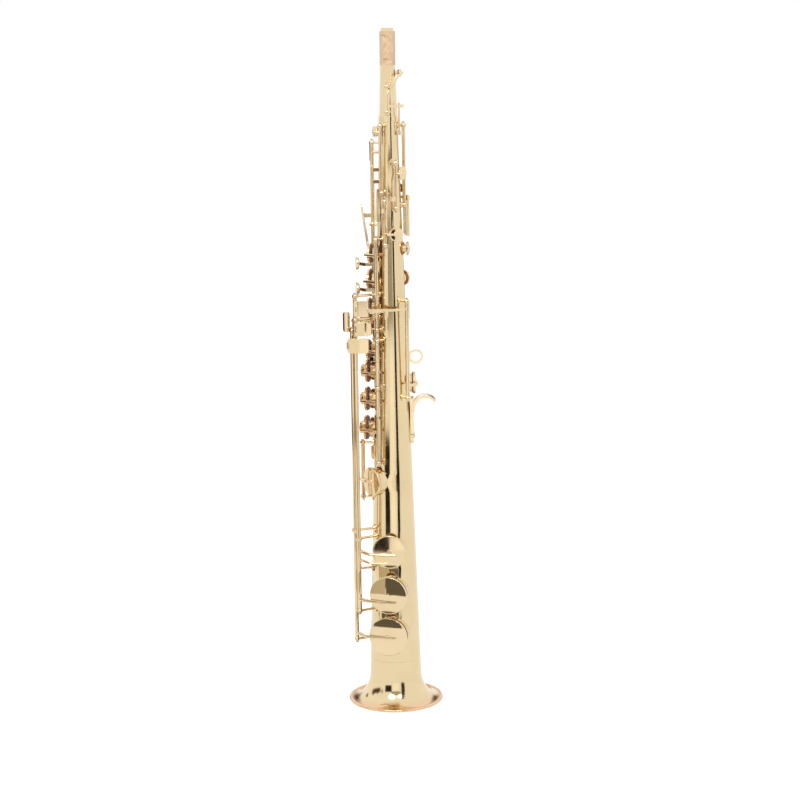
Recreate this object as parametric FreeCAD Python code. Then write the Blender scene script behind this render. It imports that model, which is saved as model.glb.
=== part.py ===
"""Soprano saxophone, straight, built from its separate pieces.

Frame: millimetres, +Z up the bore. The origin is on the bore axis, in the plane of the bell rim.
+X is the player's side (thumb hook), -X the front, -Y the player's left, +Y the player's right.
Angles round the body are counted from +X towards +Y. Every key hinge is parallel to the bore.
"""
import FreeCAD, Part
import math
import os

V = FreeCAD.Vector
UP = V(0, 0, 1)

# ---- body, bell and neck -------------------------------------------------------------------
TOTAL_HEIGHT = 645.0
RADIUS_AT_RIM_PLANE = 25.7      # the body's cone, carried down to the plane of the bell rim
TAPER = 0.0307                  # loss of radius per millimetre of height
WALL = 0.9
BELL_TOP = 43.0                 # where bell and body tube meet
FLARE_TOP = 28.0                # where the cone turns into the flare
BELL_RIM_RADIUS = 45.5
RIM_ROLL = 2.4                  # height of the rolled edge
RIM_ROLL_WIDTH = 2.4
BODY_TOP = 562.0
COLLAR_HEIGHT = 5.0
COLLAR_THICKNESS = 0.7
CORK_BOTTOM = 611.0
CORK_TOP = 642.0
CORK_RADIUS = 7.2

# ---- keywork -------------------------------------------------------------------------------
ROD_RADIUS = 1.0
RUNNING_GAP = 0.05
TUBE_RADIUS = 2.0
AXIAL_PLAY = 0.2
POST_BALL = 2.7
POST_HALF = 2.2
PILLAR_RADIUS = 1.25
PAD_THICKNESS = 2.6
PAD_SHOWING = 1.2
PAD_GAP = 0.15                  # air left under a closed pad
CUP_WALL = 0.7
CUP_FLOOR = 0.8
CUP_CHAMFER = 0.5               # turned edge round the top of a cup
CUP_LEDGE = 0.7                 # flat between the chamfer and the dome
DOME_RISE = 0.06                # rise of a cup's dome, as a share of its radius
ARM_TAPER = 0.45                # thickness of a key arm's tip, as a share of its root
BALL_OVERSIZE = 1.04            # ball at an arm's bend, as a share of the arm there
ARM_LIFT = 0.7                  # middle of an arm above the crown of its cup
ARM_CLEARANCE = 1.7             # middle of an arm above the back of its pad, beside the cup
ARM_REACH = 0.40                # how far an arm runs past the middle of its cup, as a share of its radius
PAD_OVERLAP = 1.0               # pad past the outside of its chimney
CHIMNEY_WALL = 0.8
PEARL_RADIUS = 5.3
PEARL_HOLDER = 6.2
PEARL_PROJECTION = 2.6
G_SHARP_RATIO = 1.26            # turn of the G sharp cup for each degree of its table lever
NECK_RATIO = 0.7                # turn of the neck vent key for each degree of the thumb lever

# ---- strap ring ----------------------------------------------------------------------------
STRAP_RING_Z = 338.0
STRAP_RING_CENTRE = 22.8        # from the bore axis
STRAP_RING_RADIUS = 7.0
STRAP_RING_HOLE = 4.9
STRAP_RING_WIDTH = 2.6

os.makedirs("parts", exist_ok=True)


def body_radius(z):
    """Outer radius of the conical body at a height."""
    return RADIUS_AT_RIM_PLANE - TAPER * z


def direction(angle):
    """Unit vector pointing away from the bore at an angle round the body."""
    return V(math.cos(math.radians(angle)), math.sin(math.radians(angle)), 0)


def polar(radius, angle):
    """X and Y of a point at a radius and an angle round the body."""
    return (radius * direction(angle).x, radius * direction(angle).y)


def cylinder(radius, start, end):
    """Cylinder between two points."""
    run = end - start
    return Part.makeCylinder(radius, run.Length, start, run)


def joined(shapes):
    """One solid from overlapping shapes."""
    whole = shapes[0].multiFuse(shapes[1:]) if len(shapes) > 1 else shapes[0]
    return whole.removeSplitter()


def cone(outer_at, low, high):
    """Cone round the bore between two heights, with its radius given by a function."""
    return Part.makeCone(outer_at(low), outer_at(high), high - low, V(0, 0, low))


def export(name, shape):
    """Write one named piece and say how many solids it holds."""
    shape.exportStep("parts/" + name + ".step")
    print(name, len(shape.Solids), "valid" if shape.isValid() else "NOT VALID", round(shape.Volume, 1))


# ---- bars, plates and touches ----------------------------------------------------------------
def strap(points, z, width, thickness=2.0):
    """Flat bar on edge that follows points in plan, mitred at its turns and round at its ends."""
    low = z - width / 2
    half = thickness / 2
    places = [V(x, y, low) for x, y in points]
    runs = [(b - a).normalize() for a, b in zip(places, places[1:])]
    left = []
    right = []
    for place, before, after in zip(places, [runs[0]] + runs, runs + [runs[-1]]):
        side = UP.cross(before) + UP.cross(after)
        mitre = side * (half / (1 + before.dot(after)))
        left.append(place + mitre)
        right.insert(0, place - mitre)
    edges = [Part.LineSegment(a, b).toShape() for a, b in zip(left, left[1:])]
    edges.append(Part.Arc(left[-1], places[-1] + runs[-1] * half, right[0]).toShape())
    edges += [Part.LineSegment(a, b).toShape() for a, b in zip(right, right[1:])]
    edges.append(Part.Arc(right[-1], places[0] - runs[0] * half, left[0]).toShape())
    return Part.Face(Part.Wire(edges)).extrude(V(0, 0, width))


def bowed(block, length, height, thickness, bulge):
    """The part of a flat block, centred on the origin, that lies in a sheet bowed towards +Y."""
    radius = (length ** 2 / 4 + bulge ** 2) / (2 * bulge)
    centre = V(0, thickness / 2 - radius, -height)
    sheet = Part.makeCylinder(radius, 2 * height, centre).cut(
        Part.makeCylinder(radius - thickness, 2 * height, centre))
    return block.common(sheet)


def upright(shape, start, end, z):
    """Stand a shape on the line between two points in plan, its +Y side away from the bore."""
    run = V(end[0] - start[0], end[1] - start[1], 0)
    middle = V((start[0] + end[0]) / 2, (start[1] + end[1]) / 2, 0)
    outward = middle.dot(UP.cross(run)) > 0
    shape.rotate(V(0, 0, 0), UP, math.degrees(math.atan2(run.y, run.x)) + (0 if outward else 180))
    shape.translate(middle + UP * z)
    return shape


def plate(start, end, low, high, thickness=1.6, corner=2.5, bulge=1.0):
    """Upright touch between two points in plan, with rounded corners, bowed away from the bore."""
    length = math.dist(start, end)
    height = high - low
    depth = bulge + thickness + 1
    box = Part.makeBox(length, 2 * depth, height, V(-length / 2, -depth, -height / 2))
    across = [edge for edge in box.Edges if abs(edge.tangentAt(edge.FirstParameter).y) > 0.9]
    box = box.makeFillet(corner, across)
    return upright(bowed(box, length, height, thickness, bulge), start, end, (low + high) / 2)


def flat_plate(start, end, low, high, thickness, corner=2.5):
    """Upright flat plate between two points in plan, with rounded corners."""
    length = math.dist(start, end)
    height = high - low
    box = Part.makeBox(length, thickness, height, V(-length / 2, -thickness / 2, -height / 2))
    across = [edge for edge in box.Edges if abs(edge.tangentAt(edge.FirstParameter).y) > 0.9]
    return upright(box.makeFillet(corner, across), start, end, (low + high) / 2)


def leaf(start, end, low, high, lean=0.0, thickness=1.5, bulge=0.7):
    """Palm touch: narrow and round at the top, wide and round below, bowed away from the bore."""
    width = math.dist(start, end)
    height = high - low
    wide = width / 2
    narrow = width / 4
    depth = bulge + thickness + 1
    across = V(0, 2 * depth, 0)
    foot = V(0, -depth, wide - height / 2)
    head = V(0, -depth, height / 2 - narrow)
    slope = math.asin((wide - narrow) / (head - foot).Length)
    normal = V(math.cos(slope), 0, math.sin(slope))
    mirror = V(-normal.x, 0, normal.z)
    corners = [foot + normal * wide, head + normal * narrow, head + mirror * narrow, foot + mirror * wide]
    edges = [Part.LineSegment(a, b).toShape() for a, b in zip(corners, corners[1:] + corners[:1])]
    middle = Part.Face(Part.Wire(edges)).extrude(across)
    outline = joined([middle, Part.makeCylinder(wide, 2 * depth, foot, across),
                      Part.makeCylinder(narrow, 2 * depth, head, across)])
    shape = bowed(outline, width, height, thickness, bulge)
    shape.rotate(V(0, 0, 0), V(1, 0, 0), lean)
    return upright(shape, start, end, (low + high) / 2)


def bar(start, end, radius):
    """Round bar between two points in space, with ball ends."""
    a = V(*start)
    b = V(*end)
    return joined([cylinder(radius, a, b), Part.makeSphere(radius, a), Part.makeSphere(radius, b)])


def tapered_arm(points, root):
    """Round arm through points in plan, thinner towards its tip, with ball ends."""
    places = [V(x, y, 0) for x, y in points]
    runs = [(b - a).Length for a, b in zip(places, places[1:])]
    radii = [root * 0.8]
    for run in runs:
        radii.append(radii[-1] - root * 0.8 * (1 - ARM_TAPER) * run / sum(runs))
    shapes = [Part.makeSphere(radius * BALL_OVERSIZE, place) for radius, place in zip(radii, places)]
    for a, b, wide, narrow in zip(places, places[1:], radii, radii[1:]):
        shapes.append(Part.makeCone(wide, narrow, (b - a).Length, a, b - a))
    return joined(shapes)


def revolved(points, crown=None):
    """Body of revolution about X from its half outline, closed by a dome if a crown is given."""
    edges = [Part.LineSegment(V(a[0], a[1], 0), V(b[0], b[1], 0)).toShape()
             for a, b in zip(points, points[1:])]
    if crown is not None:
        last = points[-1]
        rise = crown - last[0]
        dome = (last[1] ** 2 + rise ** 2) / (2 * rise)
        half = math.asin(last[1] / dome) / 2
        middle = V(crown - dome + dome * math.cos(half), dome * math.sin(half), 0)
        edges.append(Part.Arc(V(last[0], last[1], 0), middle, V(crown, 0, 0)).toShape())
        last = (crown, 0)
    else:
        last = points[-1]
    edges.append(Part.LineSegment(V(last[0], last[1], 0), V(points[0][0], points[0][1], 0)).toShape())
    return Part.Face(Part.Wire(edges)).revolve(V(0, 0, 0), V(1, 0, 0), 360)


def turned(shape, angle, z):
    """Turn a shape built along +X to face an angle round the body, at a height."""
    placed = shape.copy()
    placed.rotate(V(0, 0, 0), UP, angle)
    placed.translate(V(0, 0, z))
    return placed


def pearl_touch(x, y, z, angle):
    """Round finger touch: the brass holder and the pearl set in it."""
    seat = PEARL_PROJECTION / 2
    holder = revolved([(0, 0), (0, PEARL_HOLDER - 1), (1, PEARL_HOLDER), (PEARL_PROJECTION, PEARL_HOLDER),
                       (PEARL_PROJECTION, PEARL_RADIUS + 0.05), (seat, PEARL_RADIUS + 0.05), (seat, 0)])
    pearl = revolved([(seat, 0), (seat, PEARL_RADIUS), (PEARL_PROJECTION, PEARL_RADIUS)],
                     crown=PEARL_PROJECTION + 0.8)
    placed = []
    for shape in (holder, pearl):
        shape = turned(shape, angle, z)
        shape.translate(V(x, y, 0))
        placed.append(shape)
    return placed


# ---- tone holes and their cups ------------------------------------------------------------------
def pad_radius(cup):
    return cup - CUP_WALL - 0.05


def chimney_radius(cup):
    return pad_radius(cup) - PAD_OVERLAP


def rim_distance(z, rise):
    """Distance of a tone hole's rim from the bore axis."""
    return body_radius(z) + rise


def chimney(z, angle, cup, rise):
    """Outer and inner cylinders of a tone hole drawn up from the body."""
    out = direction(angle)
    axis_point = V(0, 0, z)
    rim = rim_distance(z, rise)
    outer = cylinder(chimney_radius(cup), axis_point, axis_point + out * rim)
    inner = cylinder(chimney_radius(cup) - CHIMNEY_WALL, axis_point, axis_point + out * (rim + 1))
    return outer, inner


class Key:
    """A key drawn closed, turned about its hinge into the pose that it rests in."""

    all = []

    def __init__(self, name, hinge, span, z=None, angle=None, cup=None, rise=3.0, lift=2.5,
                 open_at_rest=False, arm_z=None, arm_width=4.0, tube=TUBE_RADIUS, arm=True):
        self.name = name
        self.hinge = hinge
        self.span = span
        self.cup_data = None
        self.open_at_rest = open_at_rest
        self.pads = []
        self.pearls = []
        self.metal = [Part.makeCylinder(tube, span[1] - span[0], V(hinge[0], hinge[1], span[0]))]
        self.full_angle = 0.0
        if cup is not None:
            self.add_cup(z, angle, cup, rise, arm_z or z, arm_width, arm)
            reach = self.hinge_local[1]
            self.full_angle = math.copysign(math.degrees(math.atan(lift / abs(reach))), reach)
        Key.all.append(self)

    def add_cup(self, z, angle, cup, rise, arm_z, arm_width, arm):
        """Cup and pad over a tone hole, and the arm that joins the cup to the hinge tube."""
        self.cup_data = (z, angle, cup, rise)
        turn = math.radians(-angle)
        hinge_out = self.hinge[0] * math.cos(turn) - self.hinge[1] * math.sin(turn)
        hinge_along = self.hinge[0] * math.sin(turn) + self.hinge[1] * math.cos(turn)
        self.hinge_local = (hinge_out, hinge_along)
        seat = rim_distance(z, rise) + PAD_GAP
        floor = seat + PAD_THICKNESS
        edge = floor + CUP_FLOOR
        crown = edge + cup * DOME_RISE
        shell = revolved([(floor, 0), (floor, cup - CUP_WALL), (seat + PAD_SHOWING, cup - CUP_WALL),
                          (seat + PAD_SHOWING, cup), (edge - CUP_CHAMFER, cup), (edge, cup - CUP_CHAMFER),
                          (edge, cup - CUP_CHAMFER - CUP_LEDGE)], crown=crown)
        self.metal.append(turned(shell, angle, z))
        pad = Part.makeCylinder(pad_radius(cup), PAD_THICKNESS, V(seat, 0, 0), V(1, 0, 0))
        self.pads.append(turned(pad, angle, z))
        boss = Part.makeCylinder(min(2.6, cup * 0.4), 1.2, V(crown - 0.6, 0, 0), V(1, 0, 0))
        self.metal.append(turned(boss, angle, z))
        self.floor = floor
        self.crown = crown
        if arm:
            self.add_arm(arm_z, arm_width, ARM_REACH)

    def add_arm(self, arm_z, arm_width, reach):
        """Arm from the hinge tube over the cup, past its middle by a share of its radius."""
        angle, cup = self.cup_data[1:3]
        hinge_along = self.hinge_local[1]
        side = math.copysign(1, hinge_along)
        shoulder = min(2.5, (abs(hinge_along) - cup) / 2)
        points = [self.hinge_local, (self.floor + ARM_CLEARANCE, side * (cup + shoulder)),
                  (self.crown + ARM_LIFT, side * cup * 0.5), (self.crown + ARM_LIFT, -side * cup * reach)]
        self.metal.append(turned(tapered_arm(points, arm_width / 2), angle, arm_z))

    @classmethod
    def named(cls, name):
        return next(key for key in cls.all if key.name == name)

    def add(self, *shapes):
        self.metal.extend(shapes)

    def add_pearl(self, x, y, z, angle, route):
        """Pearl touch on an arm that leaves the hinge tube along a route in plan."""
        holder, pearl = pearl_touch(x, y, z, angle)
        self.metal.append(holder)
        self.metal.append(strap([self.hinge] + route, z, 3.0))
        self.pearls.append(pearl)

    def finish(self):
        """Bore the tube for its rod and put the key in its rest pose."""
        bore = Part.makeCylinder(ROD_RADIUS + RUNNING_GAP, self.span[1] - self.span[0] + 2,
                                 V(self.hinge[0], self.hinge[1], self.span[0] - 1))
        parts = {"key": joined(self.metal).cut(bore)}
        if self.pads:
            parts["pad"] = Part.makeCompound(self.pads) if len(self.pads) > 1 else self.pads[0]
        if self.pearls:
            parts["touch"] = self.pearls[0]
        if self.open_at_rest:
            for shape in parts.values():
                shape.rotate(V(self.hinge[0], self.hinge[1], 0), UP, self.full_angle)
        for kind, shape in parts.items():
            ending = "" if kind == "key" else "_" + kind
            export(self.name + ending, shape)
        return parts


# ---- hinge lines: where each rod stands, and the heights of its posts -----------------------------
LOW_BFLAT_ROD = (-36.8, -16.0)
LOW_B_ROD = (-33.6, -21.0)
LOW_CSHARP_ROD = (-35.0, -7.0)
LOW_C_ROD = (16.2, 23.2)
LOW_EFLAT_ROD = (-28.8, 1.6)
RIGHT_STACK_ROD = (-13.4, -19.9)
LEFT_STACK_ROD = (-13.4, -15.5)
G_SHARP_ROD = (15.0, -17.0)
PALM_D_ROD = (-4.5, -17.0)
PALM_F_ROD = (-7.8, -12.8)
PALM_EFLAT_ROD = (6.0, -17.0)
SIDE_BFLAT_ROD = polar(24.0, 98)
SIDE_C_ROD = polar(25.5, 112)
HIGH_E_ROD = polar(27.0, 126)
OCTAVE_ROD = (13.9, 0.0)
NECK_ROD = (-1.0, -11.6)
VENT_ROD = polar(16.0, 75)

POSTS = [
    (LOW_BFLAT_ROD, (65.0, 366.0)),
    (LOW_B_ROD, (94.5, 377.0, 399.0)),
    (LOW_CSHARP_ROD, (133.0, 374.0)),
    (LOW_C_ROD, (174.0, 250.0)),
    (LOW_EFLAT_ROD, (202.0, 255.0)),
    (RIGHT_STACK_ROD, (239.0, 311.0, 356.0)),
    (LEFT_STACK_ROD, (366.0, 451.0)),
    (G_SHARP_ROD, (301.0, 393.0)),
    (PALM_D_ROD, (446.0, 486.5)),
    (PALM_F_ROD, (494.0, 556.0)),
    (PALM_EFLAT_ROD, (480.0, 522.0)),
    (SIDE_BFLAT_ROD, (300.0, 421.0)),
    (SIDE_C_ROD, (326.0, 449.0)),
    (HIGH_E_ROD, (352.0, 539.0)),
    (OCTAVE_ROD, (482.0, 556.0)),
    (NECK_ROD, (568.5, 592.0)),
    (VENT_ROD, (483.0, 509.0)),
]
GUIDES = [(LOW_BFLAT_ROD, 173.0), (LOW_B_ROD, 166.0), (HIGH_E_ROD, 462.0)]
GUIDE_GAP = 0.1


def between(low_post, high_post):
    """Span of a hinge tube that fills the room between two posts."""
    return (low_post + POST_HALF + AXIAL_PLAY, high_post - POST_HALF - AXIAL_PLAY)


# ---- the keys -------------------------------------------------------------------------------------
def low_keys():
    """Bell keys B flat, B and C sharp with their little-finger table, then low C and E flat."""
    low_bflat = Key("low_bflat_key", LOW_BFLAT_ROD, between(65, 366), z=71.5, angle=-100, cup=18.7,
                    rise=3.6, lift=4.0, open_at_rest=True, arm_z=71, arm_width=5)
    low_bflat.add(strap([LOW_BFLAT_ROD, (-40.5, -21.5), (-38.5, -27)], 353, 6),
                  plate((-40, -27), (-20, -27), 346, 360))
    low_b = Key("low_b_key", LOW_B_ROD, between(94.5, 377), z=112, angle=-100, cup=18.4,
                rise=3.6, lift=4.0, open_at_rest=True, arm_z=106, arm_width=5)
    low_b.add(strap([LOW_B_ROD, (-32, -25.5)], 368.5, 6), plate((-34, -25.5), (-18, -25.5), 362, 375))
    low_csharp = Key("low_csharp_key", LOW_CSHARP_ROD, between(133, 374), z=153.5, angle=-100, cup=16.2,
                     rise=3.4, lift=3.6, arm_z=151, arm_width=5)
    low_csharp.add_arm(142.5, 3.8, -0.1)
    low_csharp.add(strap([LOW_CSHARP_ROD, (-41, -11)], 366, 4), plate((-45.4, -11), (-38.6, -11), 364, 383))
    low_c = Key("low_c_key", LOW_C_ROD, between(174, 250), z=183, angle=100, cup=14.5,
                rise=3.2, lift=3.4, open_at_rest=True, arm_width=5)
    low_c.add(strap([LOW_C_ROD, (2, 30), (-9, 29)], 239, 5), plate((-22, 24.5), (-7, 30), 232, 246))
    z, angle, cup, rise = 219.5, -147, 14.2, 3.0
    low_eflat = Key("low_eflat_key", LOW_EFLAT_ROD, between(202, 255), z=z, angle=angle, cup=cup,
                    rise=rise, lift=3.0, arm_width=5)
    low_eflat.add(strap([LOW_EFLAT_ROD, (-29.5, 6)], 245, 5), plate((-29.8, 3), (-30.5, 17), 238, 252))
    rib = Part.makeBox(1.6, 3.2, 1.6 * cup, V(low_eflat.crown - 0.9, -1.6, -0.8 * cup))
    low_eflat.add(turned(rib, angle, z))


def stack_keys():
    """The two stacks of finger keys at the front, each with its pearl where a finger rests."""
    front = 162
    right_hand = [("d_key", between(239, 284), 269, 12.2, 3.0),
                  ("e_key", between(281.9, 311), 297, 11.8, 2.8),
                  ("f_key", between(311, 338.2), 324, 11.2, 2.7)]
    for name, span, z, cup, lift in right_hand:
        key = Key(name, RIGHT_STACK_ROD, span, z=z, angle=front, cup=cup, rise=2.8, lift=lift,
                  open_at_rest=True)
        x, y = polar(key.crown + 1.2, front)
        holder, pearl = pearl_touch(x, y, z, front)
        key.add(holder)
        key.pearls.append(pearl)
    Key("f_sharp_key", RIGHT_STACK_ROD, (336.3, 353.6), z=345, angle=front, cup=9.2, rise=2.8,
        lift=2.4, open_at_rest=True)
    left_hand = [("g_key", between(366, 398.1), 384, 10.2, 2.6, 383),
                 ("a_key", (396.2, 422.0), 411, 10.8, 2.4, 404),
                 ("b_key", between(419.9, 451), 436, 9.8, 2.3, 428)]
    for name, span, z, cup, lift, pearl_z in left_hand:
        key = Key(name, LEFT_STACK_ROD, span, z=z, angle=160, cup=cup, rise=2.6, lift=lift,
                  open_at_rest=True)
        key.add_pearl(-28.0, -2.0, pearl_z, 180, [(-22.5, -14), (-27.2, -6)])


def g_sharp_keys():
    """The table lever and the G sharp cup that its tail lifts."""
    lever = Key("g_sharp_lever", LOW_B_ROD, between(377, 399))
    lever.add(plate((-35, -25), (-20, -25), 380, 395), strap([LOW_B_ROD, (-32, -25)], 387.5, 5),
              strap([(-21, -25), (-17, -27.4), (-7.5, -27.4)], 386, 3.5))
    key = Key("g_sharp_key", G_SHARP_ROD, between(301, 393), z=313, angle=0, cup=10.8, rise=2.8,
              lift=2.6)
    key.add(strap([G_SHARP_ROD, (2, -24.6), (-9, -24.6)], 386, 2.4, 1.8))


def palm_keys():
    """Three high keys worked by the left palm, each with a hanging paddle."""
    palm_d = Key("palm_d_key", PALM_D_ROD, between(446, 486.5), z=456, angle=-70, cup=6.8, rise=2.8,
                 lift=2.0, tube=1.8)
    palm_d.add(strap([PALM_D_ROD, (-9.5, -21.5)], 478, 4), leaf((-13.6, -21.5), (-7.2, -21.5), 468, 499))
    palm_eflat = Key("palm_eflat_key", PALM_EFLAT_ROD, between(480, 522), z=512, angle=-35, cup=6.2,
                     rise=2.6, lift=2.0, tube=1.8)
    palm_eflat.add(strap([PALM_EFLAT_ROD, (1.5, -23.5)], 489, 4),
                   leaf((-4, -23.5), (3, -23.5), 462, 495))
    palm_f = Key("palm_f_key", PALM_F_ROD, between(494, 556), z=550.5, angle=-155, cup=5.0,
                 rise=2.4, lift=1.6, tube=1.7, arm_width=3.0)
    upright = (-16, -14)
    palm_f.add(strap([PALM_F_ROD, upright], 505, 3.5), strap([PALM_F_ROD, upright], 516, 3.5),
               bar((upright[0], upright[1], 470), (upright[0], upright[1], 519), 1.4),
               strap([upright, (-23, -15)], 474, 4), leaf((-23.6, -24), (-23.6, -12), 445, 485, lean=-8))


def side_keys():
    """Three keys on the player's right, opened by the side of the right hand."""
    side_bflat = Key("side_bflat_key", SIDE_BFLAT_ROD, between(300, 421), z=412, angle=45, cup=7.4,
                     rise=2.6, lift=2.0)
    side_bflat.add(strap([SIDE_BFLAT_ROD, (-7, 27)], 312, 5), plate((-17, 27.4), (-5, 27.4), 303, 322))
    side_c = Key("side_c_key", SIDE_C_ROD, between(326, 449), z=440, angle=55, cup=7.0, rise=2.6,
                 lift=2.0)
    side_c.add(strap([SIDE_C_ROD, (-14, 27)], 338, 5), plate((-24, 27.6), (-12, 27.6), 329, 348))
    high_e = Key("high_e_key", HIGH_E_ROD, between(352, 539), z=530, angle=75, cup=5.6, rise=2.4,
                 lift=1.8)
    high_e.add(strap([HIGH_E_ROD, (-20, 25)], 364, 5), plate((-30, 25.6), (-18, 25.6), 355, 374))


def octave_keys():
    """Thumb lever, the neck vent key that it lifts, and the vent key on the body."""
    lever = Key("octave_thumb_lever", OCTAVE_ROD, between(482, 556), tube=1.7)
    touch_angle = 15
    touch_start = polar(19.0, touch_angle - 14)
    touch_end = polar(19.0, touch_angle + 24)
    lever.add(strap([OCTAVE_ROD, polar(19.0, touch_angle)], 488, 4, 1.6),
              plate(touch_start, touch_end, 452, 491, corner=4, bulge=1.2))
    pin = (10.0, -6.8)
    lever.add(strap([OCTAVE_ROD, pin], 549, 3.5, 1.6),
              cylinder(0.9, V(pin[0], pin[1], 548), V(pin[0], pin[1], 577)))
    neck = Key("neck_octave_key", NECK_ROD, between(568.5, 592), z=604, angle=0, cup=3.6, rise=1.8,
               lift=1.2, tube=1.5, arm=False)
    crown = rim_distance(604, 1.8) + PAD_GAP + PAD_THICKNESS + CUP_FLOOR + 3.6 * DOME_RISE
    neck.add(strap([NECK_ROD, (5, -13.6), (12.2, -9.6), (13.8, -5.4)], 574, 2.6, 1.4),
             bar((-1.0, -12.4, 584), (9.0, -10.4, 601), 1.1),
             bar((9.0, -10.4, 601), (crown + 0.8, -3.0, 604), 1.1),
             bar((crown + 0.8, -3.0, 604), (crown + 0.8, 0.0, 604), 1.1))
    vent = Key("body_octave_key", VENT_ROD, between(483, 509), z=497, angle=40, cup=4.2, rise=2.0,
               lift=1.2, tube=1.7, arm_width=3)
    vent.add(strap([VENT_ROD, (12, 17), (15.5, 15.2)], 488, 3, 1.6))


# ---- body, bell and neck ---------------------------------------------------------------------------
def envelope():
    """The whole outside cone, which fixed feet are shaped to."""
    return cone(body_radius, 0, TOTAL_HEIGHT)


def inner_radius(z):
    return body_radius(z) - WALL


def tone_holes(on_neck):
    """Cup data of the keys whose holes are on the neck, or on the body."""
    return [key.cup_data for key in Key.all
            if key.cup_data and (key.cup_data[0] > BODY_TOP) == on_neck]


def bored_tube(low, high, holes):
    """Conical tube with a chimney drawn up for each tone hole."""
    outside = [cone(body_radius, low, high)]
    inside = [cone(inner_radius, low - 1, high + 1)]
    for z, angle, cup, rise in holes:
        outer, inner = chimney(z, angle, cup, rise)
        outside.append(outer)
        inside.append(inner)
    solid = joined(outside)
    for void in inside:
        solid = solid.cut(void)
    return solid


def body_tube():
    return bored_tube(BELL_TOP, BODY_TOP, tone_holes(False))


def neck_tube():
    """Narrow end of the cone, which the mouthpiece cork is glued round."""
    return bored_tube(BODY_TOP, TOTAL_HEIGHT, tone_holes(True))


def flare_points(centre_z, half_width, half_height, count=9):
    """Quarter ellipse from the foot of the cone out to the rolled edge."""
    centre_r = BELL_RIM_RADIUS - RIM_ROLL_WIDTH / 2
    points = []
    for step in range(count):
        turn = math.pi / 2 * step / (count - 1)
        points.append(V(centre_r - half_width * math.cos(turn), 0, centre_z - half_height * math.sin(turn)))
    return points


def bell():
    """Short cone and flare, with a rolled edge that has a narrow flat to stand on."""
    centre_r = BELL_RIM_RADIUS - RIM_ROLL_WIDTH / 2
    outer = flare_points(FLARE_TOP, centre_r - body_radius(FLARE_TOP), FLARE_TOP - RIM_ROLL / 2 - WALL / 2)
    inner = flare_points(FLARE_TOP, centre_r - inner_radius(FLARE_TOP), FLARE_TOP - RIM_ROLL / 2 + WALL / 2)
    curves = []
    for points in (outer, inner):
        curve = Part.BSplineCurve()
        curve.interpolate(points)
        curves.append(curve.toShape())
    top_out = V(body_radius(BELL_TOP), 0, BELL_TOP)
    top_in = V(inner_radius(BELL_TOP), 0, BELL_TOP)
    edges = [Part.LineSegment(top_out, outer[0]).toShape(), curves[0],
             Part.LineSegment(outer[-1], inner[-1]).toShape(), curves[1],
             Part.LineSegment(inner[0], top_in).toShape(), Part.LineSegment(top_in, top_out).toShape()]
    shell = Part.Face(Part.Wire(Part.__sortEdges__(edges))).revolve(V(0, 0, 0), UP, 360)
    roll = Part.makeCylinder(BELL_RIM_RADIUS, RIM_ROLL).cut(
        Part.makeCylinder(BELL_RIM_RADIUS - RIM_ROLL_WIDTH, RIM_ROLL))
    roll = roll.makeFillet(0.75, [edge for edge in roll.Edges if edge.Curve.TypeId == "Part::GeomCircle"])
    return joined([shell, roll])


def ring_on_body(low, high, thickness):
    """Close-fitting band round the cone."""
    outer = Part.makeCylinder(body_radius(low) + thickness, high - low, V(0, 0, low))
    return outer.cut(cone(lambda z: body_radius(z) + 0.02, low - 1, high + 1))


def neck_cork():
    """Cork sleeve of constant radius over the tip of the neck."""
    sleeve = Part.makeCylinder(CORK_RADIUS, CORK_TOP - CORK_BOTTOM, V(0, 0, CORK_BOTTOM))
    return sleeve.cut(cone(body_radius, CORK_BOTTOM - 1, CORK_TOP + 1))


# ---- posts and rods ----------------------------------------------------------------------------------
def foot_radius(z):
    """Feet get smaller as the body gets thinner, so that neighbours stay apart."""
    if z > 430:
        return 3.0
    return 3.3 if z > 300 else 3.8


def post(rod, z, bore, ball, half):
    """Pillar from the body to a rod, with a flattened ball or ring that the rod goes through."""
    out = V(rod[0], rod[1], 0)
    angle = math.degrees(math.atan2(out.y, out.x))
    reach = out.Length
    surface = body_radius(z)
    pillar = Part.makeCylinder(PILLAR_RADIUS, reach - bore - 0.2 - surface + 1, V(surface - 1, 0, 0),
                               V(1, 0, 0))
    foot = Part.makeCylinder(foot_radius(z), 2.0, V(surface - 1, 0, 0), V(1, 0, 0))
    head = Part.makeSphere(ball, V(reach, 0, 0)).common(
        Part.makeBox(4 * ball, 4 * ball, 2 * half, V(reach - 2 * ball, -2 * ball, -half)))
    whole = turned(joined([pillar, foot, head]), angle, z)
    hole = Part.makeCylinder(bore, 4 * half, V(rod[0], rod[1], z - 2 * half))
    return whole.cut(hole).cut(envelope_solid)


def posts():
    made = [post(rod, z, ROD_RADIUS, POST_BALL, POST_HALF) for rod, heights in POSTS for z in heights]
    made += [post(rod, z, TUBE_RADIUS + GUIDE_GAP, 3.6, 1.8) for rod, z in GUIDES]
    return Part.makeCompound(made)


def hinge_rods():
    """Steel rods, each a little proud of its outer posts."""
    proud = POST_HALF + 0.6
    rods = [Part.makeCylinder(ROD_RADIUS, heights[-1] - heights[0] + 2 * proud,
                              V(rod[0], rod[1], heights[0] - proud)) for rod, heights in POSTS]
    return Part.makeCompound(rods)


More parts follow.
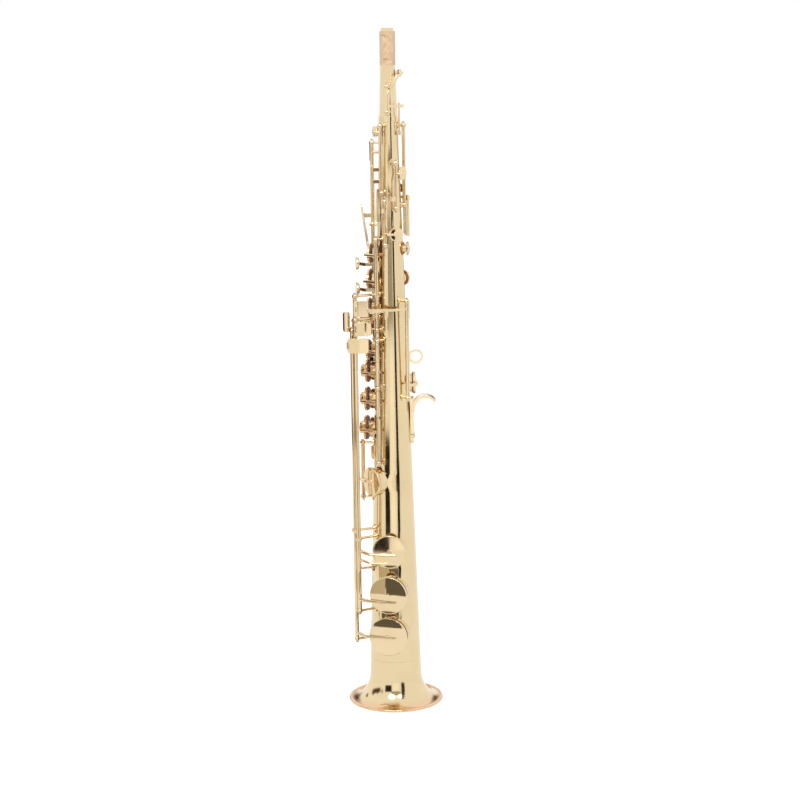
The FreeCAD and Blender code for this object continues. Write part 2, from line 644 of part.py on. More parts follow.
# ---- fixed fittings on the player's side ------------------------------------------------------------------
def thumb_hook():
    """Base plate on the back and the hook that the right thumb goes under."""
    surface = body_radius(277)
    base = flat_plate((-5.5, 0), (5.5, 0), 255, 300, 3.6)
    base.rotate(V(0, 0, 0), UP, 90)
    base.translate(V(surface + 1.4, 0, 0))
    foot = Part.makeCylinder(6.0, 3.4, V(surface - 0.6, 0, 262), V(1, 0, 0))
    arch_start = surface + 1.5
    outline = [V(arch_start, 0, 286), V(arch_start + 3, 0, 297), V(arch_start + 8, 0, 300.8),
               V(arch_start + 17, 0, 300.4), V(41.5, 0, 296.0)]
    lower = [V(40.2, 0, 294.2), V(arch_start + 16, 0, 298.2), V(arch_start + 9, 0, 298.2),
             V(arch_start + 5.4, 0, 295), V(arch_start + 2.6, 0, 285)]
    curves = []
    for points in (outline, lower):
        curve = Part.BSplineCurve()
        curve.interpolate(points)
        curves.append(curve.toShape())
    edges = [curves[0], Part.LineSegment(outline[-1], lower[0]).toShape(), curves[1],
             Part.LineSegment(lower[-1], outline[0]).toShape()]
    hook = Part.Face(Part.Wire(edges)).extrude(V(0, 13, 0))
    hook.translate(V(0, -6.5, 0))
    return joined([base, foot, hook]).cut(envelope_solid)


def strap_ring():
    """Ring for the neck strap's hook, its hole running left to right, on a foot plate."""
    z = STRAP_RING_Z
    half = STRAP_RING_WIDTH / 2
    surface = body_radius(z)
    across = V(0, 1, 0)
    ring = Part.makeCylinder(STRAP_RING_RADIUS, STRAP_RING_WIDTH, V(STRAP_RING_CENTRE, -half, z), across)
    foot = flat_plate((-4, 0), (4, 0), z - 11, z + 9, 3.0)
    foot.rotate(V(0, 0, 0), UP, 90)
    foot.translate(V(surface + 0.1, 0, 0))
    web = Part.makeBox(2.4, STRAP_RING_WIDTH, 9, V(surface, -half, z - 4.5))
    hole = Part.makeCylinder(STRAP_RING_HOLE, 3 * half, V(STRAP_RING_CENTRE, -1.5 * half, z), across)
    return joined([ring, foot, web]).cut(hole).cut(envelope_solid)


def thumb_rest():
    """Round button that the left thumb lies on, with its short stem."""
    z = 441.0
    surface = body_radius(z)
    stem = Part.makeCylinder(3.2, 4.0, V(surface - 0.8, 0, 0), V(1, 0, 0))
    top = surface + 3.0
    button = revolved([(top, 0), (top, 6.0), (top + 1, 7.0), (top + 1.8, 7.0)], crown=top + 3.2)
    return turned(joined([stem, button]), 0, z).cut(envelope_solid)


# ---- build everything ---------------------------------------------------------------------------------------
envelope_solid = envelope()
low_keys()
stack_keys()
g_sharp_keys()
palm_keys()
side_keys()
octave_keys()
for made_key in Key.all:
    made_key.finish()
export("body_tube", body_tube())
export("bell", bell())
export("neck_tube", neck_tube())
export("neck_collar", ring_on_body(BODY_TOP - COLLAR_HEIGHT / 2, BODY_TOP + COLLAR_HEIGHT / 2,
                                   COLLAR_THICKNESS))
export("neck_cork", neck_cork())
export("posts", posts())
export("hinge_rods", hinge_rods())
export("thumb_hook", thumb_hook())
export("strap_ring", strap_ring())
export("thumb_rest", thumb_rest())
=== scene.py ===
"""Looks of the straight soprano saxophone: materials, small fittings, light and camera.

Lengths are written in millimetres and multiplied by MM, because Blender works in metres. Z runs up
the bore from the bell rim, -Y is the side that the camera sees, and +X is the player's side.
"""

import math

import bmesh
import bpy
import numpy as np
from mathutils import Matrix, Vector


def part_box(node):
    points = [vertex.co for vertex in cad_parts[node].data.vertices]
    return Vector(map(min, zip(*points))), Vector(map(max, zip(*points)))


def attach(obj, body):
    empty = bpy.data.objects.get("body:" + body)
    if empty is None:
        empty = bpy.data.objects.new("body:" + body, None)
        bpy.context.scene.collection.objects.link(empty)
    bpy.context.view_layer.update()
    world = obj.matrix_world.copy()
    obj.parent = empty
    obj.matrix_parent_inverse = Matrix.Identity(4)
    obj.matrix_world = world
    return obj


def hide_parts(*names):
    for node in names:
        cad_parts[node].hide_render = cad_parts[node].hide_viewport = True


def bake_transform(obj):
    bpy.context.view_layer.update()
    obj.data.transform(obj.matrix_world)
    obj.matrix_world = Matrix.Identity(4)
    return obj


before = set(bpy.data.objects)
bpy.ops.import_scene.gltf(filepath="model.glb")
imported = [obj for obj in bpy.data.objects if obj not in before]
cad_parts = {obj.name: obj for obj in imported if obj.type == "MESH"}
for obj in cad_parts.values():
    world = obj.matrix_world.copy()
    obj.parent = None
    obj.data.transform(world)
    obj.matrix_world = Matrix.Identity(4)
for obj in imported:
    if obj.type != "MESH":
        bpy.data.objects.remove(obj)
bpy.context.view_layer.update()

MM = 0.001
UP = Vector((0, 0, 1))

# ---- camera -----------------------------------------------------------------------------------
CAMERA_DISTANCE = 1900.0
CAMERA_HEIGHT = 654.0
CAMERA_YAW = 0.225
CAMERA_PITCH = 10.67
CAMERA_ROLL = -0.754            # the saxophone leans a little in its stand
CAMERA_LENS = 91.3
CAMERA_SIGHT = 50.0             # metres

FLOOR_RADIUS = 9.0              # metres

# ---- hinge rods: place in plan, and the heights of the posts at their ends ------------------------
RODS = {
    "low_bflat_key": ((-36.8, -16.0), 65.0, 366.0),
    "low_b_key": ((-33.6, -21.0), 94.5, 399.0),
    "low_csharp_key": ((-35.0, -7.0), 133.0, 374.0),
    "low_c_key": ((16.2, 23.2), 174.0, 250.0),
    "low_eflat_key": ((-28.8, 1.6), 202.0, 255.0),
    "right_stack": ((-13.4, -19.9), 239.0, 356.0),
    "left_stack": ((-13.4, -15.5), 366.0, 451.0),
    "g_sharp_key": ((15.0, -17.0), 301.0, 393.0),
    "palm_d_key": ((-4.5, -17.0), 446.0, 486.5),
    "palm_f_key": ((-7.8, -12.8), 494.0, 556.0),
    "palm_eflat_key": ((6.0, -17.0), 480.0, 522.0),
    "side_bflat_key": ((-3.34, 23.77), 300.0, 421.0),
    "side_c_key": ((-9.55, 23.64), 326.0, 449.0),
    "high_e_key": ((-15.87, 21.84), 352.0, 539.0),
    "octave_thumb_lever": ((13.9, 0.0), 482.0, 556.0),
    "neck_octave_key": ((-1.0, -11.6), 568.5, 592.0),
    "body_octave_key": ((4.14, 15.45), 483.0, 509.0),
}
ROD_END = 2.8                   # a rod's end, past the middle of its last post

# Each key's needle spring: its rod, the height of the post it is set in, and 1 if it runs up from
# there or -1 if down.
SPRINGS = {
    "low_bflat_key": ("low_bflat_key", 65.0, 1),
    "low_b_key": ("low_b_key", 94.5, 1),
    "low_csharp_key": ("low_csharp_key", 133.0, 1),
    "low_c_key": ("low_c_key", 174.0, 1),
    "low_eflat_key": ("low_eflat_key", 202.0, 1),
    "d_key": ("right_stack", 239.0, 1),
    "e_key": ("right_stack", 311.0, -1),
    "f_key": ("right_stack", 311.0, 1),
    "f_sharp_key": ("right_stack", 356.0, -1),
    "g_key": ("left_stack", 366.0, 1),
    "b_key": ("left_stack", 451.0, -1),
    "g_sharp_key": ("g_sharp_key", 393.0, -1),
    "palm_d_key": ("palm_d_key", 446.0, 1),
    "palm_f_key": ("palm_f_key", 556.0, -1),
    "palm_eflat_key": ("palm_eflat_key", 522.0, -1),
    "side_bflat_key": ("side_bflat_key", 421.0, -1),
    "side_c_key": ("side_c_key", 449.0, -1),
    "high_e_key": ("high_e_key", 539.0, -1),
    "octave_thumb_lever": ("octave_thumb_lever", 556.0, -1),
}


# ---- mesh helpers ---------------------------------------------------------------------------------
def add_piece(name, mesh, material):
    """Add a finished mesh to the scene, with its material."""
    mesh.materials.append(material)
    piece = bpy.data.objects.new(name, mesh)
    bpy.context.scene.collection.objects.link(piece)
    return piece


def put(name, mesh, material, body):
    """Add a finished mesh that rides on a body."""
    piece = add_piece(name, mesh, material)
    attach(piece, body)
    return piece


def frame_of(axis):
    """Two directions square to an axis and to each other."""
    across = axis.orthogonal().normalized()
    return across, axis.cross(across).normalized()


def add_lathe(mesh, profile, centre, axis, segments=48):
    """Turn a profile of (distance along the axis, radius) pairs into a surface in a bmesh."""
    across, other = frame_of(axis)
    rings = []
    for along, radius in profile:
        point = centre + axis * along
        if radius < 1e-7:
            rings.append([mesh.verts.new(point)])
            continue
        turns = [2 * math.pi * k / segments for k in range(segments)]
        rings.append([mesh.verts.new(point + (across * math.cos(t) + other * math.sin(t)) * radius)
                      for t in turns])
    for low, high in zip(rings, rings[1:]):
        for k in range(segments):
            after = (k + 1) % segments
            corners = [low[k % len(low)], low[after % len(low)],
                       high[after % len(high)], high[k % len(high)]]
            mesh.faces.new(dict.fromkeys(corners))
    return mesh


def finished(name, work):
    """Mesh data from a bmesh, smooth, with its normals outwards."""
    bmesh.ops.recalc_face_normals(work, faces=work.faces)
    for face in work.faces:
        face.smooth = True
    data = bpy.data.meshes.new(name)
    work.to_mesh(data)
    work.free()
    return data


def arc(centre_along, centre_radius, size, start, end, count=6):
    """Profile points round a corner, with angles in degrees from the axis towards the outside."""
    turns = [math.radians(start + (end - start) * k / (count - 1)) for k in range(count)]
    return [(centre_along + size * math.cos(t), centre_radius + size * math.sin(t)) for t in turns]


# ---- materials ------------------------------------------------------------------------------------
class Shader:
    """A node material being built: its nodes, its links and its Principled shader."""

    def __init__(self, name, **values):
        self.material = bpy.data.materials.new(name)
        self.material.use_nodes = True
        self.nodes = self.material.node_tree.nodes
        self.links = self.material.node_tree.links
        self.surface = self.nodes["Principled BSDF"]
        for socket, value in values.items():
            self.surface.inputs[socket.replace("_", " ")].default_value = value
        self.place = self.nodes.new("ShaderNodeTexCoord").outputs["Object"]
        self.normals = []

    def soften_edges(self, radius):
        """Catch the light on edges as if they were broken by this radius, in metres."""
        self.normals.append(self.node("Bevel", {"Radius": radius}, samples=6).outputs["Normal"])

    def node(self, kind, links=None, **settings):
        made = self.nodes.new("ShaderNode" + kind)
        for key, value in settings.items():
            setattr(made, key, value)
        for socket, value in (links or {}).items():
            if hasattr(value, "is_output"):
                self.links.new(value, made.inputs[socket])
            else:
                made.inputs[socket].default_value = value
        return made

    def stretched(self, x, y, z):
        """Object position scaled apart on each axis, for brushed or streaky textures."""
        return self.node("Mapping", {"Vector": self.place, "Scale": (x, y, z)}).outputs["Vector"]

    def noise(self, scale, detail=4.0, roughness=0.5, place=None):
        links = {"Vector": place or self.place, "Scale": scale, "Detail": detail, "Roughness": roughness}
        return self.node("TexNoise", links).outputs["Fac"]

    def cells(self, scale, place=None, feature="F1", output="Distance"):
        links = {"Vector": place or self.place, "Scale": scale}
        return self.node("TexVoronoi", links, feature=feature).outputs[output]

    def span(self, value, low, high, to_low=0.0, to_high=1.0):
        """Map a value from one range to another, held at both ends."""
        links = {"Value": value, "From Min": low, "From Max": high, "To Min": to_low, "To Max": to_high}
        return self.node("MapRange", links).outputs["Result"]

    def height(self):
        """Distance up the bore, in metres."""
        return self.node("SeparateXYZ", {"Vector": self.place}).outputs["Z"]

    def times(self, value, factor):
        return self.node("Math", {0: value, 1: factor}, operation="MULTIPLY").outputs["Value"]

    def mixed(self, factor, first, second):
        mix = self.node("Mix", data_type="RGBA")
        for socket, value in zip((mix.inputs["Factor"], mix.inputs[6], mix.inputs[7]),
                                 (factor, first, second)):
            if hasattr(value, "is_output"):
                self.links.new(value, socket)
            else:
                socket.default_value = value
        return mix.outputs[2]

    def drive(self, socket, value):
        self.links.new(value, self.surface.inputs[socket])

    def bump(self, value, depth, strength=1.0):
        """Add one layer of relief, its depth in metres."""
        links = {"Height": value, "Distance": depth, "Strength": strength}
        if self.normals:
            links["Normal"] = self.normals[-1]
        self.normals.append(self.node("Bump", links).outputs["Normal"])
        self.drive("Normal", self.normals[-1])


def lacquered_brass(name, bright, deep, rim=None):
    """Polished brass under clear lacquer: slow colour drift, polishing marks, a few dark specks and, when
    rim is given, a coppery painted shade near the bell rim.
    """
    made = Shader(name, Metallic=1.0, Coat_Weight=0.6, Coat_Roughness=0.05, Coat_IOR=1.5)
    made.soften_edges(0.4 * MM)
    drift = made.span(made.noise(22, 3), 0.3, 0.7)
    colour = made.mixed(drift, bright, deep)
    # Painted shade: a coppery colour, strongest at the bottom and gone 6 mm up, stands in for the shading
    # of the rolled bell rim.
    if rim is not None:
        rim_shade_mask = made.span(made.height(), 0.0015, 0.006, 0.85, 0.0)
        colour = made.mixed(rim_shade_mask, colour, rim)
    specks = made.span(made.cells(240), 0.02, 0.07, 0.35, 0.0)
    sparse = made.span(made.noise(35, 2), 0.58, 0.66)
    colour = made.mixed(made.node("Math", {0: specks, 1: sparse}, operation="MULTIPLY").outputs[0],
                        colour, (0.42, 0.24, 0.10, 1))
    made.drive("Base Color", colour)
    marks = made.noise(900, 3, 0.6, made.stretched(1, 1, 0.06))
    haze = made.noise(60, 4)
    made.drive("Roughness", made.span(made.node("Math", {0: marks, 1: haze}, operation="ADD").outputs[0],
                                      0.7, 1.3, 0.07, 0.15))
    made.bump(made.noise(70, 2), 0.00003, 0.5)
    made.bump(marks, 0.000004, 0.4)
    return made.material


def ground_steel():
    """Centreless-ground rod: fine rings round it, slightly oily patches."""
    made = Shader("ground_steel", Metallic=1.0)
    made.drive("Base Color", made.mixed(made.noise(90, 3), (0.55, 0.55, 0.57, 1), (0.72, 0.71, 0.69, 1)))
    rings = made.noise(700, 2, 0.6, made.stretched(0.05, 0.05, 3))
    made.drive("Roughness", made.span(rings, 0.3, 0.7, 0.18, 0.32))
    made.bump(rings, 0.000006, 0.5)
    return made.material


def blued_steel():
    """Spring wire, blue from its tempering, straw coloured in places."""
    made = Shader("blued_steel", Metallic=1.0)
    heat = made.span(made.noise(120, 2), 0.35, 0.65)
    made.drive("Base Color", made.mixed(heat, (0.05, 0.08, 0.20, 1), (0.16, 0.11, 0.12, 1)))
    made.drive("Roughness", made.span(made.noise(900, 2), 0.3, 0.7, 0.22, 0.38))
    return made.material


def pad_leather():
    """Brown kid leather: fine pebbled grain, its tone drifting at random."""
    made = Shader("pad_leather", Sheen_Weight=0.12, Sheen_Roughness=0.4, Specular_IOR_Level=0.4)
    tone = made.span(made.noise(180, 5, 0.6), 0.3, 0.7)
    made.drive("Base Color", made.mixed(tone, (0.22, 0.060, 0.030, 1), (0.38, 0.125, 0.065, 1)))
    grain = made.cells(1500, feature="DISTANCE_TO_EDGE")
    made.drive("Roughness", made.span(made.noise(400, 3), 0.3, 0.7, 0.42, 0.6))
    made.bump(made.span(grain, 0.0, 0.25), 0.00005, 0.7)
    made.bump(made.noise(500, 3), 0.00004, 0.5)
    return made.material


def sheet_cork():
    """Sanded sheet cork: pale cells and long dark lenticels."""
    made = Shader("sheet_cork", Specular_IOR_Level=0.25)
    cells = made.cells(700)
    tone = made.span(made.noise(260, 6, 0.7), 0.3, 0.7)
    colour = made.mixed(tone, (0.45, 0.30, 0.18, 1), (0.61, 0.45, 0.30, 1))
    streaks = made.noise(75, 4, 0.75, made.stretched(1, 1, 2.6))
    lenticels = made.span(streaks, 0.60, 0.68)
    colour = made.mixed(made.times(lenticels, 0.75), colour, (0.26, 0.13, 0.07, 1))
    made.drive("Base Color", colour)
    made.drive("Roughness", made.span(tone, 0.0, 1.0, 0.75, 0.9))
    made.bump(cells, 0.00006, 0.5)
    made.bump(made.times(lenticels, -1.0), 0.00025, 0.8)
    return made.material


def mother_of_pearl():
    """Nacre: pale layers that drift between pink, green and cream, under a polished surface."""
    made = Shader("mother_of_pearl", Coat_Weight=0.8, Coat_Roughness=0.04, Specular_IOR_Level=0.6)
    layers = made.noise(260, 3, 0.5, made.stretched(0.5, 1, 1.4))
    shine = made.mixed(made.span(layers, 0.38, 0.5), (0.66, 0.53, 0.53, 1), (0.74, 0.70, 0.60, 1))
    shine = made.mixed(made.span(layers, 0.5, 0.62), shine, (0.50, 0.62, 0.60, 1))
    made.drive("Base Color", shine)
    made.drive("Roughness", made.span(layers, 0.3, 0.7, 0.16, 0.3))
    made.bump(layers, 0.00003, 0.4)
    return made.material


def floor_paper():
    """Matt white sweep with a faint tooth."""
    made = Shader("floor_paper", Roughness=0.9, Specular_IOR_Level=0.1)
    tone = made.span(made.noise(400, 3), 0.3, 0.7)
    made.drive("Base Color", made.mixed(tone, (0.93, 0.93, 0.93, 1), (0.95, 0.95, 0.945, 1)))
    return made.material


BODY_BRASS = lacquered_brass("body_brass", (0.86, 0.70, 0.43, 1), (0.80, 0.63, 0.37, 1))
# The rim colour is painted shade of the rolled rim, not a different metal.
BELL_BRASS = lacquered_brass("bell_brass", (0.86, 0.70, 0.43, 1), (0.80, 0.63, 0.37, 1),
                             rim=(0.86, 0.54, 0.31, 1))
KEY_BRASS = lacquered_brass("key_brass", (0.90, 0.73, 0.47, 1), (0.83, 0.64, 0.38, 1))
STEEL = ground_steel()
SPRING_STEEL = blued_steel()
LEATHER = pad_leather()
CORK = sheet_cork()
PEARL = mother_of_pearl()

FIXED_MATERIALS = {
    "body_tube": BODY_BRASS,
    "bell": BELL_BRASS,
    "neck_tube": BODY_BRASS,
    "neck_cork": CORK,
    "hinge_rods": STEEL,
}


BROKEN_EDGE = 0.18
SHARP_ANGLE = 50.0              # degrees; smoother edges are left as they are


def node_material(name):
    """The material of a CAD node, from its name."""
    if name.endswith("_touch"):
        return PEARL
    if name.endswith("_pad"):
        return LEATHER
    return FIXED_MATERIALS.get(name, KEY_BRASS)


def dress_cad_nodes():
    """Give each CAD node its material, and break the sharp edges of the metal ones."""
    for name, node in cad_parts.items():
        material = node_material(name)
        node.data.materials.clear()
        node.data.materials.append(material)
        if material is KEY_BRASS:
            bevel = node.modifiers.new("broken_edges", "BEVEL")
            bevel.width = BROKEN_EDGE * MM
            bevel.segments = 2
            bevel.limit_method = "ANGLE"
            bevel.angle_limit = math.radians(SHARP_ANGLE)
            bevel.harden_normals = True


# ---- pads ------------------------------------------------------------------------------------------
def disc(node):
    """Centre of the back, axis towards the bore, radius and thickness of a flat round CAD node."""
    points = np.array([vertex.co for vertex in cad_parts[node].data.vertices], float)
    axes = np.linalg.svd(points - points.mean(axis=0), full_matrices=False)[2]
    places = points @ axes.T
    low, high = places.min(axis=0), places.max(axis=0)
    sizes = high - low
    centre = Vector(((low + high) / 2) @ axes)
    flat = int(np.argmin(sizes))
    axis = Vector(axes[flat])
    if axis.dot(Vector((centre.x, centre.y, 0))) > 0:
        axis = -axis
    radius, thickness = float(np.delete(sizes, flat).mean() / 2), float(sizes[flat])
    return centre - axis * thickness / 2, axis, radius, thickness


RESONATOR_FROM = 5.0            # radius of the smallest pad with a resonator


def pad_profile(radius, thickness):
    """A leather pad: rounded at both edges, pressed in a ring where it meets its tone hole."""
    ring = radius - 1.4 * MM
    face = thickness
    press = 0.12 * MM
    edge = 0.75 * MM
    points = [(0.0, 0.0), (0.0, radius - 0.3 * MM), (0.3 * MM, radius - 0.03 * MM)]
    points += arc(face - edge, radius - edge, edge, 90, 0)
    points += [(face, ring + 0.5 * MM), (face - press, ring + 0.25 * MM), (face - press, ring - 0.25 * MM),
               (face, ring - 0.6 * MM), (face - 0.05 * MM, radius * 0.5), (face - 0.25 * MM, 0.0)]
    return points


def resonator_profile(radius, face):
    """A domed metal disc held by a rivet, on the face of a pad."""
    size = radius * 0.5
    return [(face - 0.3 * MM, size), (face + 0.12 * MM, size), (face + 0.22 * MM, size - 0.25 * MM),
            (face + 0.30 * MM, size * 0.55), (face + 0.34 * MM, 0.95 * MM), (face + 0.50 * MM, 0.85 * MM),
            (face + 0.62 * MM, 0.5 * MM), (face + 0.66 * MM, 0.0)]


def pads():
    """A leather pad for each cup, in place of its plain CAD disc, with a resonator on the larger ones."""
    for node in [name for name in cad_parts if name.endswith("_pad")]:
        body = node[:-len("_pad")]
        back, axis, radius, thickness = disc(node)
        work = add_lathe(bmesh.new(), pad_profile(radius, thickness), back, axis, 64)
        pad = put(body + "_leather_pad", finished(node, work), LEATHER, body)
        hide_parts(node)
        if radius > RESONATOR_FROM * MM:
            work = add_lathe(bmesh.new(), resonator_profile(radius, thickness), back, axis)
            put(body + "_resonator", finished(node, work), STEEL, body)


# ---- screws, springs and their cradles -----------------------------------------------------------
HEAD_STEPS = 16                 # round the rim of each half of a slotted head
ROD_HEAD = {"radius": 1.45 * MM, "height": 0.55 * MM, "slot": 0.25 * MM}
HOOK_HEAD = {"radius": 2.6 * MM, "height": 0.9 * MM, "slot": 0.35 * MM}
HOOK_PLATE_FACE = 20.4          # from the middle of the bore
HOOK_SCREW_RISE = 7.0           # above the lower end of the plate


def add_slotted_head(mesh, centre, axis, radius, height, slot):
    """A round screw head, its underside at centre, with a straight slot of half width slot."""
    across, other = frame_of(axis)
    corners = HEAD_STEPS + 1
    floor = height * 0.45
    add_lathe(mesh, [(0, 0), (0, radius), (floor, radius), (floor, 0)], centre, axis, 32)
    start = math.asin(slot / radius)
    for turn in (0, math.pi):
        turns = [turn + start + (math.pi - 2 * start) * k / HEAD_STEPS for k in range(corners)]
        outline = [(across * math.cos(t) + other * math.sin(t)) * radius for t in turns]
        levels = [(floor, 1.0), (height * 0.8, 1.0), (height, 0.86)]
        rings = [[mesh.verts.new(centre + axis * level + spot * scale) for spot in outline]
                 for level, scale in levels]
        for low, high in zip(rings, rings[1:]):
            for k in range(corners):
                after = (k + 1) % corners
                mesh.faces.new((low[k], low[after], high[after], high[k]))
        mesh.faces.new(rings[-1])


def rod_screws():
    """A slotted head on both ends of every hinge rod."""
    work = bmesh.new()
    for place, low, high in RODS.values():
        for z, axis in ((low - ROD_END, -UP), (high + ROD_END, UP)):
            centre = Vector((place[0], place[1], z)) * MM
            add_slotted_head(work, centre, axis, **ROD_HEAD)
    piece = put("rod_screw_heads", finished("rod_screw_heads", work), STEEL, "body")
    piece.data.shade_flat()


def thumb_hook_screw():
    """The screw of the thumb hook, whose plate stands on the back of the body."""
    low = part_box("thumb_hook")[0]
    work = bmesh.new()
    back = Vector((HOOK_PLATE_FACE * MM, 0, low.z + HOOK_SCREW_RISE * MM))
    add_slotted_head(work, back, Vector((1, 0, 0)), **HOOK_HEAD)
    piece = put("thumb_hook_screw", finished("thumb_hook_screw", work), STEEL, "body")
    piece.data.shade_flat()


SPRING_LENGTH = 17.0
SPRING_OFFSET = 2.75            # from the middle of the rod
SPRING_SEAT = 1.2               # from the middle of the post back to the spring's foot
NEEDLE_ROOT = 0.34              # radius
NEEDLE_TAPER = 0.14             # what the radius loses on the way to the tip
NEEDLE_STEPS = 14
PRONG_FROM_TIP = 1.5
PRONG_SPREAD = 0.75             # from the spring's middle to each prong's
PRONG_BACK = 1.3                # from the spring back to where the prongs start
# Along the prong and radius at that place.
PRONG_PROFILE = [(0, 0), (0, 0.42), (1.5, 0.40), (1.9, 0.25), (2.0, 0)]


def spring_line(rod, z, way):
    """Foot and tip of a needle spring beside its rod, and the direction from the rod to the spring."""
    place = Vector((rod[0], rod[1], 0))
    aside = UP.cross(place.normalized())
    line = (place + aside * SPRING_OFFSET) * MM
    return line + UP * (z - way * SPRING_SEAT) * MM, line + UP * (z + way * SPRING_LENGTH) * MM, aside


def needle_profile(length):
    """A tapering wire, made of many short rings."""
    rings = [(length * k / NEEDLE_STEPS, (NEEDLE_ROOT - NEEDLE_TAPER * k / NEEDLE_STEPS) * MM)
             for k in range(NEEDLE_STEPS + 1)]
    return [(0, 0)] + rings + [(length, 0)]


def cradle(tip, along, aside):
    """Mesh of the two prongs on a key that hold its spring near the tip."""
    work = bmesh.new()
    seat = tip - along * PRONG_FROM_TIP * MM
    out = Vector((seat.x, seat.y, 0)).normalized()
    profile = [(reach * MM, radius * MM) for reach, radius in PRONG_PROFILE]
    for side in (-1, 1):
        start = seat + out * side * PRONG_SPREAD * MM - aside * PRONG_BACK * MM
        add_lathe(work, profile, start, aside, 16)
    return work


def springs():
    """Needle springs set in the posts, and on each key the cradle that its spring pushes on.
    """
    for key, (rod, z, way) in SPRINGS.items():
        foot, tip, aside = spring_line(RODS[rod][0], z, way)
        along = (tip - foot).normalized()
        needle = add_lathe(bmesh.new(), needle_profile((tip - foot).length), foot, along, 12)
        name = key + "_needle_spring"
        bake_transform(add_piece(name, finished(name, needle), SPRING_STEEL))
        prongs = finished(key, cradle(tip, along, aside))
        put(key + "_spring_cradle", prongs, KEY_BRASS, key)


# ---- light, floor and camera --------------------------------------------------------------------
def card_material(name, colour, strength=1.0, fade=None):
    """Emitter; with fade, it thins out to clear over a share of the card's width and height."""
    made = bpy.data.materials.new(name)
    made.use_nodes = True
    nodes, links = made.node_tree.nodes, made.node_tree.links
    nodes.clear()
    out = nodes.new("ShaderNodeOutputMaterial")
    light = nodes.new("ShaderNodeEmission")
    light.inputs["Color"].default_value = (*colour, 1)
    light.inputs["Strength"].default_value = strength
    if fade is None:
        links.new(light.outputs[0], out.inputs[0])
        return made
    clear = nodes.new("ShaderNodeBsdfTransparent")
    place = nodes.new("ShaderNodeSeparateXYZ")
    links.new(nodes.new("ShaderNodeUVMap").outputs["UV"], place.inputs[0])
    both = nodes.new("ShaderNodeMath")
    both.operation = "MULTIPLY"
    for axis, share, socket in zip("XY", fade, both.inputs):
        from_edge = nodes.new("ShaderNodeMath")
        from_edge.operation = "PINGPONG"
        from_edge.inputs[1].default_value = 0.5
        links.new(place.outputs[axis], from_edge.inputs[0])
        ramp = nodes.new("ShaderNodeMapRange")
        ramp.interpolation_type = "SMOOTHSTEP"
        ramp.inputs["From Max"].default_value = share
        links.new(from_edge.outputs[0], ramp.inputs["Value"])
        links.new(ramp.outputs["Result"], socket)
    mix = nodes.new("ShaderNodeMixShader")
    links.new(both.outputs[0], mix.inputs[0])
    links.new(clear.outputs[0], mix.inputs[1])
    links.new(light.outputs[0], mix.inputs[2])
    links.new(mix.outputs[0], out.inputs[0])
    return made


def reflected_only(name, mesh):
    """Add to the scene a mesh that only shows in reflections."""
    piece = bpy.data.objects.new(name, mesh)
    bpy.context.scene.collection.objects.link(piece)
    for kind in ("camera", "diffuse", "transmission", "volume_scatter", "shadow"):
        setattr(piece, "visible_" + kind, False)


def card(name, distance, angles, heights, colour, strength=1.0, fade=(0.15, 0.04)):
    """Curved card round the saxophone, seen only in reflections.

    Distance and heights are in millimetres, and angles in degrees to the right of the camera.
    """
    count = 12
    turns = [math.radians(angles[0] + (angles[1] - angles[0]) * k / count) for k in range(count + 1)]
    verts = [(distance * MM * math.sin(t), -distance * MM * math.cos(t), z * MM)
             for t in turns for z in heights]
    faces = [(2 * k, 2 * k + 2, 2 * k + 3, 2 * k + 1) for k in range(count)]
    mesh = bpy.data.meshes.new(name)
    mesh.from_pydata(verts, [], faces)
    spots = mesh.uv_layers.new(name="UVMap").data
    for loop in mesh.loops:
        spots[loop.index].uv = (loop.vertex_index // 2 / count, loop.vertex_index % 2)
    mesh.materials.append(card_material(name, colour, strength, fade))
    reflected_only(name, mesh)


def cards():
    """Dark and bright cards that draw the stripes and crescents on the brass."""
    black = (0.020, 0.017, 0.010)
    smoke = (0.12, 0.11, 0.085)
    olive = (0.55, 0.50, 0.38)
    umber = (0.10, 0.045, 0.02)
    card("front_white", 620, (-16, 14), (20, 300), (1.0, 0.985, 0.95), strength=1.12)
    card("front_copper", 620, (-16, 22), (430, 516), (0.24, 0.14, 0.075), fade=(0.12, 0.2))
    card("front_grey", 620, (-18, 20), (302, 432), (0.36, 0.34, 0.29), fade=(0.2, 0.2))
    card("front_line", 615, (-20, -14), (302, 432), umber, fade=(0.2, 0.1))
    card("table_grey", 75, (-25, -20), (359, 373), smoke, fade=(0.1, 0.1))
    card("stripe_right", 400, (20, 36), (-6, 600), black, fade=(0.12, 0.04))
    card("stripe_left", 400, (-46, -18), (52, 214), black, fade=(0.05, 0.05))
    card("middle_cup_right", 48, (-21.8, 16), (109.5, 131), smoke, fade=(0.03, 0.03))
    card("middle_cup_left", 48, (-58, -21.8), (109.5, 131), olive, fade=(0.02, 0.03))
    card("lowest_cup_top", 48, (-58, 16), (79, 89), smoke, fade=(0.03, 0.05))
    card("stack_left", 700, (-112, -60), (110, 400), umber, fade=(0.25, 0.35))
    card("stack_near", 60, (-100, -60), (240, 470), umber, fade=(0.2, 0.1))
    for number, angles in enumerate([(-64, -55), (-86, -74), (-106, -94), (-134, -120)]):
        card("left_flag_%d" % number, 900, angles, (220, 600), umber, fade=(0.45, 0.45))
    card("edge_right", 800, (146, 176), (150, 600), umber, fade=(0.45, 0.45))
    card("edge_left", 800, (-176, -146), (-40, 600), umber, fade=(0.45, 0.45))


def round_floor(name, z):
    """Flat disc round the foot of the saxophone."""
    count = 96
    turns = [2 * math.pi * k / count for k in range(count)]
    edge = [(FLOOR_RADIUS * math.cos(t), FLOOR_RADIUS * math.sin(t), z) for t in turns]
    mesh = bpy.data.meshes.new(name)
    mesh.from_pydata(edge, [], [tuple(range(count))])
    return mesh


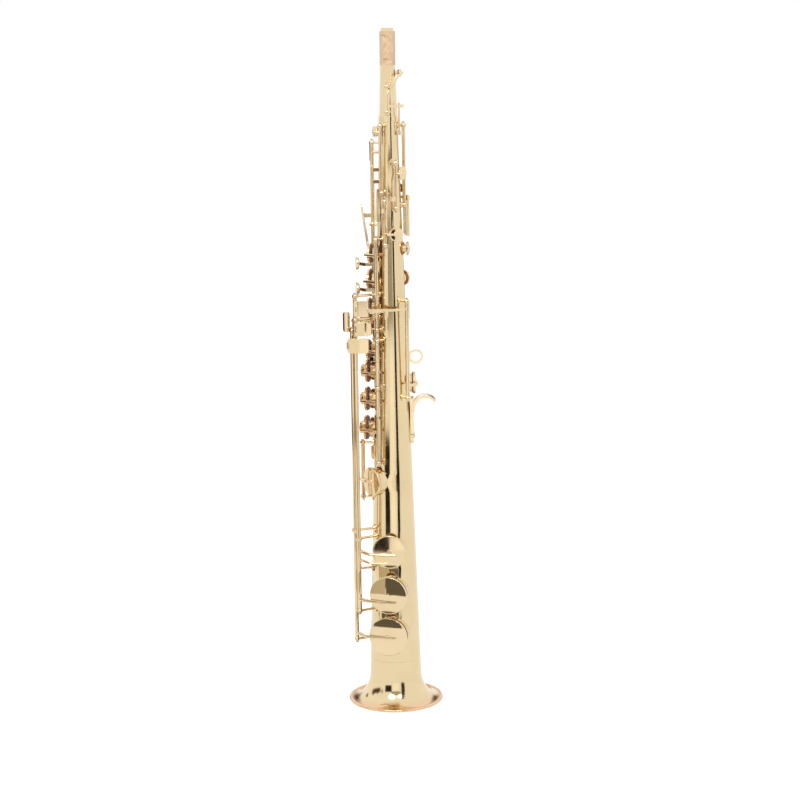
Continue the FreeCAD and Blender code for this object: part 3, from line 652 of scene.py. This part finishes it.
def area_light(name, place, size, power):
    """Round soft lamp, aimed at the middle of the saxophone; place and size are in metres."""
    data = bpy.data.lights.new(name, "AREA")
    data.shape = "DISK"
    data.size = size
    data.energy = power
    lamp = bpy.data.objects.new(name, data)
    bpy.context.scene.collection.objects.link(lamp)
    lamp.location = place
    aim = Vector((0, 0, 0.3)) - Vector(place)
    lamp.rotation_euler = aim.to_track_quat("-Z", "Y").to_euler()


def studio():
    """White room: pale floor, even white surroundings, an overcast sky and two soft lamps."""
    world = bpy.data.worlds.new("studio")
    bpy.context.scene.world = world
    world.use_nodes = True
    background = world.node_tree.nodes["Background"]
    background.inputs["Color"].default_value = (1.0, 1.0, 1.0, 1)
    background.inputs["Strength"].default_value = 1.0
    area_light("key_light", place=(-0.65, -1.7, 2.0), size=0.9, power=16)
    area_light("fill_light", place=(0.6, -1.8, 2.0), size=0.7, power=8)
    overcast_sky()
    floors()


def overcast_sky():
    """Very wide sun that lights from above without showing in reflections."""
    data = bpy.data.lights.new("overcast", "SUN")
    data.energy = 0.6
    data.angle = math.radians(100)
    overcast = bpy.data.objects.new("overcast", data)
    overcast.visible_glossy = False
    bpy.context.scene.collection.objects.link(overcast)


def floors():
    """The floor that is seen, and the even one that reflections show in its place."""
    mesh = round_floor("floor", 0)
    mesh.materials.append(floor_paper())
    floor = bpy.data.objects.new("floor", mesh)
    bpy.context.scene.collection.objects.link(floor)
    floor.visible_glossy = False
    mesh = round_floor("mirrored_floor", -0.05 * MM)
    mesh.materials.append(card_material("mirrored_floor", (0.97, 0.955, 0.93)))
    reflected_only("mirrored_floor", mesh)


def camera():
    """Camera at the photograph's height, distance and angle."""
    data = bpy.data.cameras.new("camera")
    data.lens = CAMERA_LENS
    data.clip_end = CAMERA_SIGHT
    eye = bpy.data.objects.new("camera", data)
    bpy.context.scene.collection.objects.link(eye)
    eye.location = (0, -CAMERA_DISTANCE * MM, CAMERA_HEIGHT * MM)
    yaw, pitch, roll = (math.radians(a) for a in (CAMERA_YAW, CAMERA_PITCH, CAMERA_ROLL))
    forward = Vector((math.sin(yaw) * math.cos(pitch), math.cos(yaw) * math.cos(pitch), -math.sin(pitch)))
    turn = forward.to_track_quat("-Z", "Y").to_matrix()
    eye.rotation_euler = (turn @ Matrix.Rotation(roll, 3, "Z")).to_euler()
    bpy.context.scene.camera = eye
    bpy.context.scene.view_settings.view_transform = "Standard"


camera()
studio()
cards()
dress_cad_nodes()
pads()
rod_screws()
thumb_hook_screw()
springs()
